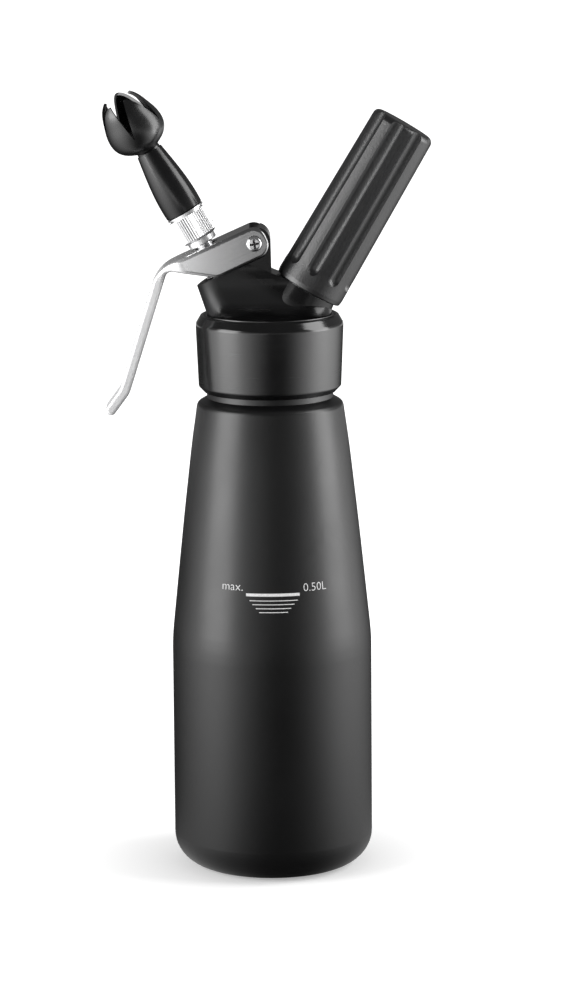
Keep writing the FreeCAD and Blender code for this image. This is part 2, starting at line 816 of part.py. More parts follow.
def make_adapter():
    foot, nut, knurl_top, rim, top = adapter_heights()
    body = turned([
        (0, foot),
        (hub_r, foot, 0.5),
        (hub_r, nut),
        (adapter_r - 1.2, nut),
        (adapter_r - knurl_depth, nut + bevel_h),
        (adapter_r - knurl_depth, knurl_top),
        (adapter_r - groove_depth, knurl_top),
        (adapter_r - groove_depth, rim),
        (adapter_r + 0.1, rim),
        (adapter_r + 0.1, top),
        (spigot_r, top),
        (spigot_r, top + adapter_spigot_h, 0.5),
        (0, top + adapter_spigot_h),
    ])
    ring = []
    for i in range(2 * knurl_teeth + 1):
        r = adapter_r if i % 2 == 0 else adapter_r - knurl_depth
        a = math.pi * i / knurl_teeth
        ring.append(V(r * math.cos(a), r * math.sin(a), nut + bevel_h))
    knurl = Part.Face(Part.makePolygon(ring)).extrude(V(0, 0, knurl_h))
    body = body.fuse(knurl)
    stem_hole = foot + stem_in_adapter + washer_t
    body = body.cut(rod(stem_r + same_body_gap + 0.04, foot - 1, stem_hole))
    body = body.cut(rod(adapter_bore_r, stem_hole - 1, top + adapter_spigot_h + 1))
    return one_solid(placed(body, nozzle_frame))


def make_adapter_washer():
    foot = hub_s() + stem_in_adapter + 0.05
    return placed(tube(stem_r, adapter_bore_r, foot, foot + washer_t - 0.1), nozzle_frame)


def cone_foot_s():
    return adapter_heights()[4] + 0.1


def make_nozzle_cone():
    foot = cone_foot_s()
    thread_r = spigot_r + nozzle_gap
    top = foot + cone_len
    side = Part.BSplineCurve()
    side.interpolate([
        V(cone_r, 0, foot + 0.5),
        V(cone_r - 0.05, 0, foot + 0.34 * cone_len),
        V(cone_r - 0.95, 0, foot + 0.65 * cone_len),
        V(cone_top_r, 0, top),
    ])
    corners = [V(cone_top_r, 0, top), V(0, 0, top), V(0, 0, foot), V(cone_r - 0.4, 0, foot), V(cone_r, 0, foot + 0.5)]
    edges = [side.toShape()] + [Part.LineSegment(a, b).toShape() for a, b in zip(corners, corners[1:])]
    cone = Part.Face(Part.Wire(edges)).revolve(V(0, 0, 0), V(0, 0, 1), 360)
    cone = cone.cut(rod(thread_r, foot - 1, foot + adapter_spigot_h + 0.8))
    cone = cone.cut(rod(cone_bore_r, foot, top + 1))
    cone = cone.cut(Part.makeSphere(ball_r + same_body_gap, V(0, 0, top)))
    return one_solid(placed(cone, nozzle_frame))


def crown_shell_line(inset):
    """Profile of the crown from its neck up to the petals' tips, as radius and height."""
    share = [(0.66, 0.15), (0.86, 0.225), (0.965, 0.31), (1.0, 0.42),
             (0.966, 0.55), (0.866, 0.70), (0.74, 0.855)]
    line = [(crown_r * r - inset, crown_h * h + 0.35 * inset) for r, h in share]
    return line + [(crown_tip_r - inset, crown_h)]


def revolved_curve(points, corners):
    """Solid of revolution of a smooth side and straight runs that close it on the axis."""
    side = Part.BSplineCurve()
    side.interpolate([V(r, 0, z) for r, z in points])
    path = [V(r, 0, z) for r, z in corners]
    edges = [side.toShape()] + [Part.LineSegment(a, b).toShape() for a, b in zip(path, path[1:])]
    return Part.Face(Part.Wire(edges)).revolve(V(0, 0, 0), V(0, 0, 1), 360)


def slot_cutter():
    """Wedge between two petals, with the petals' tips rounded, cutting towards +X."""
    top = crown_h + 0.02
    half = slot_w / 2
    face = Part.Face(rounded_wire([
        (0, slot_foot),
        (half, top, petal_round),
        (half + 3, top),
        (half + 3, top + 3),
        (-half - 3, top + 3),
        (-half - 3, top),
        (-half, top, petal_round),
    ]))
    face.rotate(V(0, 0, 0), V(0, 0, 1), 90)
    face.translate(V(cone_bore_r - 0.2, 0, 0))
    return face.extrude(V(2 * crown_r, 0, 0))


def make_crown():
    neck_z = 1.6
    outer = [(ball_r - 0.3, neck_z)] + crown_shell_line(0)
    body = revolved_curve(outer, [outer[-1], (0, outer[-1][1]), (0, neck_z), outer[0]])
    inner = crown_shell_line(crown_wall)[1:]
    floor_z = inner[0][1] - 0.6
    inner = [(cone_bore_r, floor_z)] + inner
    top = inner[-1]
    lid = (top[0], top[1] + 2)
    hollow = revolved_curve(inner, [top, lid, (0, lid[1]), (0, floor_z), inner[0]])
    body = body.fuse(Part.makeSphere(ball_r)).cut(hollow)
    body = body.cut(rod(cone_bore_r - 0.4, -2 * ball_r, floor_z + 1))
    for i in range(petals):
        slot = slot_cutter()
        slot.rotate(V(0, 0, 0), V(0, 0, 1), first_slot + 360 / petals * i)
        body = body.cut(slot)
    body.rotate(V(0, 0, 0), V(1, 0, 0), crown_lean)
    body.translate(V(0, 0, cone_foot_s() + cone_len))
    return one_solid(placed(body, nozzle_frame))


# ---------------------------------------------------------------- charger side
def charger_seat_t():
    """Where the end of the charger's neck lies: on its seal at the bottom of the pocket."""
    return holder_foot_t + charger_seat_h


def make_holder():
    foot, top = holder_foot_t, holder_foot_t + holder_len
    body = turned([
        (0, foot),
        (holder_r_foot - 0.3, foot, 0.6),
        (holder_r_foot, foot + 2.0, 2.0),
        (holder_r_top, top, holder_round),
        (0, top),
    ])
    slope = math.degrees(math.atan((holder_r_foot - holder_r_top) / holder_len))
    for i in range(flutes):
        start = V(0, 0, foot + flute_start + flute_r)
        cutter = Part.makeCylinder(flute_r, holder_len, start).fuse(Part.makeSphere(flute_r, start))
        cutter.rotate(start, V(0, 1, 0), -slope)
        cutter.translate(V(holder_r_foot - flute_depth + flute_r, 0, 0))
        cutter.rotate(V(0, 0, 0), V(0, 0, 1), first_flute + 360 / flutes * i)
        body = body.cut(cutter)
    body = body.cut(rod(mouth_r, foot - 1, foot + mouth_depth))
    bore = turned([
        (0, foot), (holder_bore_r, foot), (holder_bore_r, top - holder_roof, 4.0), (0, top - holder_roof),
    ])
    return one_solid(placed(body.cut(bore), holder_frame))


def charger_line(inset):
    """Outline of the charger from its bottom to its neck, inset by its wall."""
    seat = charger_seat_t() + charger_gap
    end = seat + charger_len
    neck = charger_neck_r - inset
    return [
        (0, end - inset),
        (charger_r - inset, end - inset, charger_end_r - inset),
        (charger_r - inset, seat + charger_neck_h + charger_shoulder_h, charger_shoulder_r),
        (neck, seat + charger_neck_h, 2.5),
        (neck, seat + inset, 0.4),
        (0, seat + inset),
    ]


def make_charger():
    shell = turned(charger_line(0)).cut(turned(charger_line(charger_wall)))
    seat = charger_seat_t() + charger_gap
    hole = rod(needle_r + 0.15, seat - 1, seat + charger_wall + 1)
    return one_solid(placed(shell.cut(hole), holder_frame))


def make_piercing_pin():
    top = charger_seat_t() - pin_seal_t
    foot = top - pin_plug_h
    pin = turned([
        (needle_bore_r, foot),
        (pin_r - 0.3, foot),
        (pin_r, foot + 0.4),
        (pin_r, top),
        (needle_r, top),
        (needle_r, top + needle_h - 1.6),
        (needle_bore_r + 0.05, top + needle_h),
        (needle_bore_r, top + needle_h),
    ])
    return placed(pin, holder_frame)


def make_pin_seal():
    top = charger_seat_t()
    return placed(tube(charger_neck_r + neck_pocket_gap - 0.05, needle_r + 0.05,
                       top - pin_seal_t + 0.02, top), holder_frame)


def make_check_valve():
    """Rubber mushroom that closes the gas bore's mouth under the spigot."""
    roof = flange_z - spigot_h
    valve = turned([
        (0, roof - check_cap_h),
        (check_r - 1.0, roof - check_cap_h, 0.6),
        (check_r, roof - 0.05),
        (gas_r - 0.35, roof - 0.05),
        (gas_r - 0.35, roof + check_stem_h - check_barb_h - 0.4),
        (gas_r - 0.05, roof + check_stem_h - check_barb_h),
        (gas_r - 0.35, roof + check_stem_h),
        (0, roof + check_stem_h),
    ])
    valve.translate(V(gas_x, 0, 0))
    return valve


PIECES = {
    "bottle": make_bottle,
    "head_collar": make_collar,
    "head_casting": make_casting,
    "head_gasket": make_head_gasket,
    "lever": make_lever,
    "pivot_screw": make_pivot_screw,
    "pivot_nut": make_pivot_nut,
    "valve_stem": make_stem,
    "spring_cap": make_spring_cap,
    "valve_spring": make_spring,
    "gland_bush": make_gland_bush,
    "stem_o_ring": make_gland_ring,
    "valve_seal": make_valve_seal,
    "seal_nut": make_seal_nut,
    "nozzle_adapter": make_adapter,
    "adapter_washer": make_adapter_washer,
    "nozzle_cone": make_nozzle_cone,
    "tulip_crown": make_crown,
    "charger_holder": make_holder,
    "charger": make_charger,
    "piercing_pin": make_piercing_pin,
    "pin_seal": make_pin_seal,
    "gas_check_valve": make_check_valve,
}

os.makedirs("parts", exist_ok=True)
for node, make in PIECES.items():
    shape = make()
    shape.exportStep(os.path.join("parts", node + ".step"))
    box = shape.BoundBox
    print(f"{node:16s} solids {len(shape.Solids)} valid {shape.isValid()} volume {shape.Volume:9.0f}"
          f"  x {box.XMin:.1f} {box.XMax:.1f}  y {box.YMin:.1f} {box.YMax:.1f}  z {box.ZMin:.1f} {box.ZMax:.1f}")
pivot_x, pivot_z = pivot_place()
print(f"apex z {apex_z:.3f}, pivot {pivot_x:.3f} {pivot_z:.3f}, stroke {stroke:.4f}, "
      f"stroke per radian {pivot_offset:.3f}")
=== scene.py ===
import bpy
import math
from mathutils import Matrix, Vector
from mathutils.bvhtree import BVHTree


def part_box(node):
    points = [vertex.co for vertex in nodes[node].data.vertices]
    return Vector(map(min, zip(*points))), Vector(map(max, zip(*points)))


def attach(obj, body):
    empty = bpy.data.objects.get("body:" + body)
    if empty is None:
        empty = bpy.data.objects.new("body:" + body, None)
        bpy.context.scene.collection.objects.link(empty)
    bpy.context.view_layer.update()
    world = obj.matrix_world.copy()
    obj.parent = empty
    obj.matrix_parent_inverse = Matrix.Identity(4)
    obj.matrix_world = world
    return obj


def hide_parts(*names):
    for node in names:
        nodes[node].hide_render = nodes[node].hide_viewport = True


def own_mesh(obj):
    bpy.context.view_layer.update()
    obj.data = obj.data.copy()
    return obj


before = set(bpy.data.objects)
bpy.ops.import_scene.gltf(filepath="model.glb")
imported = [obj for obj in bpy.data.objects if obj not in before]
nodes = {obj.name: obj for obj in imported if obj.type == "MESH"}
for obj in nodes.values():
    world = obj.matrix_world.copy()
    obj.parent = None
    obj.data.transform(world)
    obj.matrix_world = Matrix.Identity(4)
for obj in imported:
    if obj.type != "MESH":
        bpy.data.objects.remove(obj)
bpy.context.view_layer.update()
MM = 0.001


# ---------------------------------------------------------------- axes and places of the object
def leaning(degrees):
    """Axis in the plane of the head, leaning from the upright towards the holder."""
    lean = math.radians(degrees)
    return Vector((math.sin(lean), 0, math.cos(lean)))


ORIGIN = Vector((0, 0, 0))
UP = Vector((0, 0, 1))
CROSSWISE = Vector((0, 1, 0))
LEVEL = (1, 1, 0)                       # a vector times this is its level share,
HEAD_PLANE = (1, 0, 1)                  # and times this its share in the plane of the head

BOTTLE_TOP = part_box("bottle")[1].z
NECK_FOOT = BOTTLE_TOP - 16.6 * MM      # from here up the bottle's neck is bare
FLOOR_LIMIT = 30.0 * MM                 # the bottle's inner floor lies below this
FOOT_RING = 2.0 * MM
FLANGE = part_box("head_gasket")[1].z
APEX = Vector((0, 0, FLANGE - 6.2 * MM))  # the axes of nozzle and holder cross here

NOZZLE_AXIS = leaning(-30.0)
HOLDER_AXIS = leaning(30.5)
HOLDER_FOOT = 30.3 * MM                 # along the holder's axis from the apex
STUB_R = 10.85 * MM                     # bare stub that the holder screws on

PLATE_SLOPE = math.radians(24.0)
PLATE_AXIS = Vector((-math.cos(PLATE_SLOPE), 0, -math.sin(PLATE_SLOPE)))
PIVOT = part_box("pivot_nut")[0].lerp(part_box("pivot_nut")[1], 0.5)
SCREW_FACE = Vector((PIVOT.x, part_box("pivot_screw")[0].y, PIVOT.z))

# ---------------------------------------------------------------- colours
SATIN_BLACK = (0.0030, 0.0030, 0.0032)
CAST_BLACK = (0.0090, 0.0090, 0.0093)
GLOSS_BLACK = (0.0050, 0.0050, 0.0053)
# painted shade: the blacker tone of the casting's foot and boss
PAINTED_SHADE_BLACK = (0.002, 0.002, 0.0021, 1)
ANTHRACITE = (0.010, 0.010, 0.0105)
RUBBER_GREY = (0.15, 0.15, 0.16)
STEEL = (0.74, 0.74, 0.745)
STEM_STEEL = (0.68, 0.68, 0.69)
BARE_METAL = (0.60, 0.60, 0.61)
ZINC = (0.62, 0.62, 0.64)
NICKEL = (0.93, 0.93, 0.935)
SCREW_METAL = (0.84, 0.84, 0.85)
# painted shade: dark tone down in the screw's cross
SCREW_CROSS_SHADE = (0.05, 0.05, 0.05, 1)
BRASS = (0.72, 0.52, 0.25)
PIN_BRASS = (0.70, 0.51, 0.25)
INK_TONES = ((0.60, 0.60, 0.61, 1), (0.86, 0.86, 0.86, 1))
FLOOR_TONES = ((0.78, 0.78, 0.78, 1), (0.80, 0.80, 0.80, 1))
WHITE = (1, 1, 1, 1)


# ---------------------------------------------------------------- node helpers
def put(tree, socket, value):
    """Link a socket into another, or set its value."""
    if isinstance(value, bpy.types.NodeSocket):
        tree.links.new(value, socket)
    else:
        socket.default_value = value


def add(tree, kind, inputs=(), **settings):
    """A node with its settings and its inputs, given in order or by name."""
    made = tree.nodes.new("ShaderNode" + kind)
    for key, value in settings.items():
        setattr(made, key, value)
    for key, value in inputs.items() if isinstance(inputs, dict) else enumerate(inputs):
        put(tree, made.inputs[key], value)
    return made


def math_node(tree, operation, *values):
    return add(tree, "Math", values, operation=operation).outputs[0]


def product(tree, a, b):
    return math_node(tree, "MULTIPLY", a, b)


def larger(tree, a, b):
    return math_node(tree, "MAXIMUM", a, b)


def above(tree, value, limit):
    """1 where the value is above the limit."""
    return math_node(tree, "GREATER_THAN", value, limit)


def below(tree, value, limit):
    """1 where the value is below the limit."""
    return math_node(tree, "LESS_THAN", value, limit)


def vector_math(tree, operation, *values):
    made = add(tree, "VectorMath", values, operation=operation)
    return made.outputs["Value" if operation in ("DOT_PRODUCT", "LENGTH") else "Vector"]


def dot(tree, vector, other):
    other = other if isinstance(other, bpy.types.NodeSocket) else tuple(other)
    return vector_math(tree, "DOT_PRODUCT", vector, other)


def length(tree, vector):
    return vector_math(tree, "LENGTH", vector)


def share_in(tree, vector, plane):
    """The share of a vector that lies in the LEVEL plane or the HEAD_PLANE."""
    return vector_math(tree, "MULTIPLY", vector, plane)


def split(tree, vector):
    """The three parts of a vector, by name or in order."""
    return add(tree, "SeparateXYZ", (vector,)).outputs


def place(tree):
    """Position on the object at rest."""
    return add(tree, "TexCoord").outputs["Object"]


def facing(tree):
    """Direction in which the surface faces, on the object at rest."""
    return add(tree, "TexCoord").outputs["Normal"]


def away_from(tree, origin):
    """Position on the object, seen from a point of it."""
    return vector_math(tree, "SUBTRACT", place(tree), tuple(origin))


def along_axis(tree, origin, axis):
    """Height along an axis and distance from it, in metres."""
    away = away_from(tree, origin)
    radius = length(tree, vector_math(tree, "CROSS_PRODUCT", away, tuple(axis)))
    return dot(tree, away, axis), radius


def noise(tree, vector, scale, detail=2.0, roughness=0.5):
    made = add(tree, "TexNoise", {"Vector": vector, "Scale": scale, "Detail": detail,
                                  "Roughness": roughness})
    return made.outputs["Fac"]


def spread(tree, value, low, high, over=(0.3, 0.7)):
    """Low to high as the value goes over a range; the default is the range that noise fills."""
    made = add(tree, "MapRange", {"Value": value, "From Min": over[0], "From Max": over[1],
                                  "To Min": low, "To Max": high})
    return made.outputs["Result"]


def ramp(tree, value, start, end):
    """0 up to the start, 1 from the end on."""
    return spread(tree, value, 0.0, 1.0, over=(start, end))


def blend_colour(tree, factor, a, b):
    made = add(tree, "Mix", data_type="RGBA")
    for socket, value in ((made.inputs[0], factor), (made.inputs[6], a), (made.inputs[7], b)):
        put(tree, socket, value)
    return made.outputs[2]


def blend_value(tree, factor, a, b):
    made = add(tree, "Mix", data_type="FLOAT")
    for socket, value in ((made.inputs[0], factor), (made.inputs[2], a), (made.inputs[3], b)):
        put(tree, socket, value)
    return made.outputs[0]


def tone(colour, part):
    """A darker or brighter tone of a colour."""
    return tuple(c * part for c in colour) + (1.0,)


def mottled(tree, pattern, base, darkest, brightest):
    """Tones of a colour, spread by a noise pattern."""
    return blend_colour(tree, spread(tree, pattern, 0.0, 1.0), tone(base, darkest),
                        tone(base, brightest))


def bump(tree, height, depth):
    """Normal of a surface with this relief, of a depth in metres."""
    made = add(tree, "Bump", {"Strength": 1.0, "Distance": depth, "Height": height})
    return made.outputs["Normal"]


# ---------------------------------------------------------------- marks of making
def turning_lines(tree, origin, axis, per_metre):
    """Noise in rings about an axis, as a lathe tool leaves them on sides and faces alike."""
    height, radius = along_axis(tree, origin, axis)
    rings = add(tree, "CombineXYZ", (height, radius, 0.0)).outputs[0]
    return noise(tree, rings, per_metre, detail=3.0, roughness=0.6)


def brush_lines(tree, axis, per_metre):
    """Noise drawn out along one direction, as a belt leaves it on sheet metal."""
    drawn_out = 0.012
    where = place(tree)
    along = product(tree, dot(tree, where, axis), drawn_out)
    across = dot(tree, where, axis.cross(CROSSWISE).normalized())
    crosswise = dot(tree, where, CROSSWISE)
    drawn = add(tree, "CombineXYZ", (along, across, crosswise)).outputs[0]
    return noise(tree, drawn, per_metre, detail=3.0, roughness=0.65)


def coat_nodes(tree, base, rough, grain_scale, grain):
    """Colour, roughness and normal of a sprayed or moulded surface."""
    where = place(tree)
    cloud = noise(tree, where, 40.0, detail=3.0)
    speck = noise(tree, where, grain_scale, roughness=0.6)
    colour = mottled(tree, cloud, base, 0.88, 1.14)
    colour = blend_colour(tree, spread(tree, speck, 0.0, 0.35), colour, tone(base, 1.5))
    roughness = math_node(tree, "ADD", spread(tree, cloud, rough - 0.025, rough + 0.025),
                          spread(tree, speck, -0.02, 0.02))
    return colour, roughness, bump(tree, speck, grain)


# ---------------------------------------------------------------- kinds of material
def graph(material):
    """The node tree of a material and its shader."""
    tree = material.node_tree
    return tree, tree.nodes["Principled BSDF"]


def blank(name):
    """A new material, its node tree and its shader."""
    made = bpy.data.materials.new(name)
    made.use_nodes = True
    return made, *graph(made)


def dress(tree, shader, colour, roughness, normal, specular=0.5, metallic=0.0):
    """Feed a shader, and set its constants on its own sockets."""
    for key, value in (("Base Color", colour), ("Roughness", roughness), ("Normal", normal),
                       ("Specular IOR Level", specular), ("Metallic", metallic)):
        put(tree, shader.inputs[key], value)


def overlay(tree, shader, key, mask, value):
    """Where the mask is 1, an input of the shader takes this value in place of what feeds it."""
    socket = shader.inputs[key]
    blend = blend_value if isinstance(value, float) else blend_colour
    put(tree, socket, blend(tree, mask, socket.links[0].from_socket, value))


def coated(name, base, rough, grain_scale, grain, specular=0.5):
    """Sprayed, blasted or moulded surface of one colour."""
    made, tree, shader = blank(name)
    dress(tree, shader, *coat_nodes(tree, base, rough, grain_scale, grain), specular)
    return made


def two_zone(name, base, rough, bare_mask, grain_scale=2600.0, grain=0.012 * MM, specular=0.5):
    """Black coat outside, bare machined aluminium where bare_mask(tree) is 1."""
    made, tree, shader = blank(name)
    colour, roughness, normal = coat_nodes(tree, base, rough, grain_scale, grain)
    bare = bare_mask(tree)
    lines = turning_lines(tree, ORIGIN, UP, 2200.0)
    metal = mottled(tree, lines, BARE_METAL, 0.86, 1.08)
    dress(tree, shader, blend_colour(tree, bare, colour, metal),
          blend_value(tree, bare, roughness, spread(tree, lines, 0.3, 0.42)), normal,
          specular, metallic=bare)
    return made


def turned_metal(name, base, rough, lines=2600.0, depth=0.006 * MM, origin=APEX, axis=UP,
                 specular=0.5, metallic=1.0):
    """Metal or coated metal that shows the marks of the lathe."""
    made, tree, shader = blank(name)
    rings = turning_lines(tree, origin, axis, lines)
    cloud = noise(tree, place(tree), 90.0)
    colour = mottled(tree, rings, base, 0.9, 1.07)
    colour = blend_colour(tree, spread(tree, cloud, 0.0, 0.25), colour, tone(base, 0.8))
    roughness = math_node(tree, "ADD", spread(tree, rings, rough - 0.03, rough + 0.05),
                          spread(tree, cloud, -0.02, 0.02))
    dress(tree, shader, colour, roughness, bump(tree, rings, depth), specular, metallic)
    return made


# ---------------------------------------------------------------- places with their own finish or painted shade
INWARD = -0.01 * MM                     # level place times normal is below this on the inner wall
SPIGOT_SEAM = 0.05 * MM
STUB_SEAM = 0.25 * MM
FOOT_SHADE = (13.0 * MM, 16.0 * MM)      # above the flange, where the painted shade fades out
BOSS_SHADE = (9.0 * MM, 5.0 * MM)        # before the holder's foot, where it fades in
CROSS_DEPTH = 0.25 * MM
CROSS_R = 1.95 * MM


def inside_bottle(tree):
    """1 on the bottle's inner wall and floor, and on its machined neck thread."""
    where, normal = place(tree), facing(tree)
    height = split(tree, where)["Z"]
    wall = below(tree, dot(tree, share_in(tree, where, LEVEL), normal), INWARD)
    facing_up = above(tree, split(tree, normal)["Z"], 0.5)
    floor = product(tree, facing_up, below(tree, height, FLOOR_LIMIT))
    inner = product(tree, larger(tree, wall, floor), above(tree, height, FOOT_RING))
    return larger(tree, inner, above(tree, height, NECK_FOOT))


def machined_casting(tree):
    """1 on the casting's spigot under the flange and on the stub that the holder screws on."""
    height, radius = along_axis(tree, APEX, HOLDER_AXIS)
    spigot = below(tree, split(tree, place(tree))["Z"], FLANGE + SPIGOT_SEAM)
    stub = product(tree, above(tree, height, HOLDER_FOOT - STUB_SEAM),
                   below(tree, radius, STUB_R))
    return larger(tree, spigot, stub)


def painted_shade_on_casting(tree):
    """1 where shade is painted on the casting: on its foot where that faces up, and on the boss."""
    height = split(tree, place(tree))["Z"]
    facing_up = ramp(tree, split(tree, facing(tree))["Z"], 0.12, 0.4)
    low_down = spread(tree, height, 1.0, 0.0, over=[FLANGE + end for end in FOOT_SHADE])
    up_the_boss = along_axis(tree, APEX, HOLDER_AXIS)[0]
    boss = ramp(tree, up_the_boss, *(HOLDER_FOOT - start for start in BOSS_SHADE))
    shaded_boss = product(tree, boss, below(tree, machined_casting(tree), 0.5))
    return larger(tree, product(tree, facing_up, low_down), shaded_boss)


def painted_cross_shade(tree):
    """1 down in the cross of the pivot screw, where shade is painted."""
    away = away_from(tree, SCREW_FACE)
    deep = above(tree, split(tree, away)["Y"], CROSS_DEPTH)
    return product(tree, deep, below(tree, length(tree, share_in(tree, away, HEAD_PLANE)), CROSS_R))


# ---------------------------------------------------------------- materials
BRUSHED_SHADED_TO = 2.0 * MM                   # all four are along the lever's plate from the pivot
POLISHED_LIT_FROM = 34.0 * MM
PLATE_TO = 37.0 * MM
HANDLE_FROM = 42.0 * MM


def casting_finish(name):
    """Cast coat with painted shade: blacker, and glossier, on its upward-facing foot and on the
    boss.
    """
    made = two_zone(name, CAST_BLACK, 0.43, machined_casting, grain_scale=1900.0,
                    grain=0.008 * MM, specular=0.4)
    tree, shader = graph(made)
    shade_mask = painted_shade_on_casting(tree)
    # painted shade: darker base colour on the casting's upward-facing foot and on its boss
    overlay(tree, shader, "Base Color", shade_mask, PAINTED_SHADE_BLACK)
    overlay(tree, shader, "Roughness", shade_mask, 0.22)
    return made


def collar_finish(name):
    """Satin turned black with a smoother chamfer at the top."""
    made = turned_metal(name, SATIN_BLACK, 0.22, lines=2400.0, depth=0.009 * MM,
                        specular=0.64, metallic=0.0)
    tree, shader = graph(made)
    chamfer = ramp(tree, split(tree, facing(tree))["Z"], 0.1, 0.3)
    overlay(tree, shader, "Roughness", chamfer, 0.17)
    return made


def screw_finish(name):
    """Bright plate, with painted shade in the screw's cross."""
    made = turned_metal(name, SCREW_METAL, 0.22, lines=1500.0, depth=0.002 * MM, origin=PIVOT,
                        axis=CROSSWISE)
    tree, shader = graph(made)
    # painted shade: dark base colour down in the cross of the screw
    overlay(tree, shader, "Base Color", painted_cross_shade(tree), SCREW_CROSS_SHADE)
    return made


def lever_steel(name):
    """Pressed sheet: brushed about the pivot, fading into the polished bend and handle; its base
    colour is darker by the pivot and brighter on bend and handle, as painted shade and painted
    light.
    """
    made, tree, shader = blank(name)
    lines = brush_lines(tree, PLATE_AXIS, 5200.0)
    cloud = noise(tree, place(tree), 60.0, detail=3.0)
    along = dot(tree, away_from(tree, PIVOT), PLATE_AXIS)
    polish_and_painted_light = ramp(tree, along, BRUSHED_SHADED_TO, POLISHED_LIT_FROM)
    handle = ramp(tree, along, PLATE_TO, HANDLE_FROM)
    # painted shade and painted light: base colour dark near the pivot, bright towards the bend and
    # handle
    brushed_shaded = mottled(tree, lines, STEEL, 0.46, 0.58)
    polished_lit = mottled(tree, cloud, STEEL, 1.18, 1.26)
    plate_rough = blend_value(tree, polish_and_painted_light, spread(tree, lines, 0.17, 0.23), 0.13)
    handle_rough = spread(tree, cloud, 0.38, 0.44)
    plate_metallic = spread(tree, polish_and_painted_light, 1.0, 0.6, over=(0.4, 1.0))
    relief = product(tree, lines, math_node(tree, "SUBTRACT", 1.0, polish_and_painted_light))
    dress(tree, shader, blend_colour(tree, polish_and_painted_light, brushed_shaded, polished_lit),
          blend_value(tree, handle, plate_rough, handle_rough), bump(tree, relief, 0.002 * MM),
          metallic=blend_value(tree, handle, plate_metallic, 0.45))
    return made


def white_ink(name):
    """Screen print that is a little thin in places."""
    made, tree, shader = blank(name)
    cover = noise(tree, place(tree), 1800.0, detail=3.0, roughness=0.7)
    dress(tree, shader, blend_colour(tree, ramp(tree, cover, 0.25, 0.6), *INK_TONES),
          spread(tree, cover, 0.5, 0.62), bump(tree, cover, 0.006 * MM))
    return made


bottle_coat = two_zone("bottle_powder_coat", SATIN_BLACK, 0.37, inside_bottle, specular=0.55)
collar_coat = collar_finish("collar_satin_black")
casting_coat = casting_finish("casting_black_coat")
holder_finish = coated("holder_blasted_anodised", ANTHRACITE, 0.35, grain_scale=1700.0,
                       grain=0.10 * MM, specular=0.75)
nozzle_plastic = coated("nozzle_gloss_plastic", GLOSS_BLACK, 0.22, grain_scale=500.0,
                        grain=0.0015 * MM)
crown_plastic = coated("crown_satin_plastic", GLOSS_BLACK, 0.27, grain_scale=1100.0,
                       grain=0.003 * MM, specular=0.65)
rubber = coated("moulded_silicone", RUBBER_GREY, 0.55, grain_scale=1500.0, grain=0.02 * MM)
plate_chrome = turned_metal("bright_nickel_plate", NICKEL, 0.31, lines=1500.0,
                            depth=0.002 * MM, axis=NOZZLE_AXIS)
screw_chrome = screw_finish("bright_screw_plate")
stem_steel = turned_metal("ground_stem_steel", STEM_STEEL, 0.18, lines=3200.0, axis=NOZZLE_AXIS)
spring_wire = turned_metal("drawn_spring_wire", BARE_METAL, 0.26, lines=700.0, axis=NOZZLE_AXIS)
brass = turned_metal("turned_brass", BRASS, 0.24, lines=2400.0, axis=NOZZLE_AXIS)
pin_brass = turned_metal("turned_pin_brass", PIN_BRASS, 0.22, axis=HOLDER_AXIS)
charger_zinc = turned_metal("drawn_zinc_steel", ZINC, 0.30, lines=900.0, depth=0.01 * MM,
                            axis=HOLDER_AXIS)
thread_metal = turned_metal("machined_thread", BARE_METAL, 0.3, lines=2200.0)
ink = white_ink("printed_white_ink")

FINISHES = (
    (bottle_coat, ("bottle",)),
    (collar_coat, ("head_collar",)),
    (casting_coat, ("head_casting",)),
    (lever_steel("brushed_lever_steel_painted_light"), ("lever",)),
    (screw_chrome, ("pivot_screw", "pivot_nut")),
    (plate_chrome, ("nozzle_adapter", "spring_cap")),
    (stem_steel, ("valve_stem",)),
    (spring_wire, ("valve_spring",)),
    (brass, ("gland_bush", "seal_nut")),
    (pin_brass, ("piercing_pin",)),
    (rubber, ("head_gasket", "stem_o_ring", "valve_seal", "adapter_washer", "pin_seal",
              "gas_check_valve")),
    (nozzle_plastic, ("nozzle_cone",)),
    (crown_plastic, ("tulip_crown",)),
    (holder_finish, ("charger_holder",)),
    (charger_zinc, ("charger",)),
)


def paint(node, material):
    """The material in every slot of a CAD node."""
    slots = nodes[node].data.materials
    if len(slots) == 0:
        slots.append(material)
    for i in range(len(slots)):
        slots[i] = material


for material, painted in FINISHES:
    for node in painted:
        paint(node, material)


# ---------------------------------------------------------------- pieces of the scene
def new_object(name, data):
    """An object with these data, linked into the scene."""
    made = bpy.data.objects.new(name, data)
    bpy.context.scene.collection.objects.link(made)
    return made


def piece(name, verts, faces, material, body, smooth=True):
    """A new mesh piece that rides on a body."""
    mesh = bpy.data.meshes.new(name)
    mesh.from_pydata([tuple(v) for v in verts], [], faces)
    mesh.validate()
    mesh.update()
    for polygon in mesh.polygons:
        polygon.use_smooth = smooth
    mesh.materials.append(material)
    made = new_object(name, mesh)
    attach(made, body)
    return made


# ---------------------------------------------------------------- print on the bottle
INK_RISE = 0.05 * MM
RAY_START = 0.2                         # from the bottle's axis, well outside the bottle
# height of a bar in mm, and its two ends in degrees from the front
MAIN_BAR = (116.75, -15.6, 17.0)
THIN_BARS = (
    (114.5, -13.4, 15.8),
    (113.0, -11.6, 13.6),
    (111.45, -9.5, 11.5),
    (109.95, -7.6, 9.5),
)
MAIN_BAR_H = 1.15 * MM
THIN_BAR_H = 0.30 * MM
BAR_STEPS_PER_DEGREE = 1.2
LETTERED_R = 36.6 * MM                  # the bottle's radius at the lettering
STROKE_OFFSET = -0.012                  # thins the strokes of the letters
LETTER_STEPS = 3


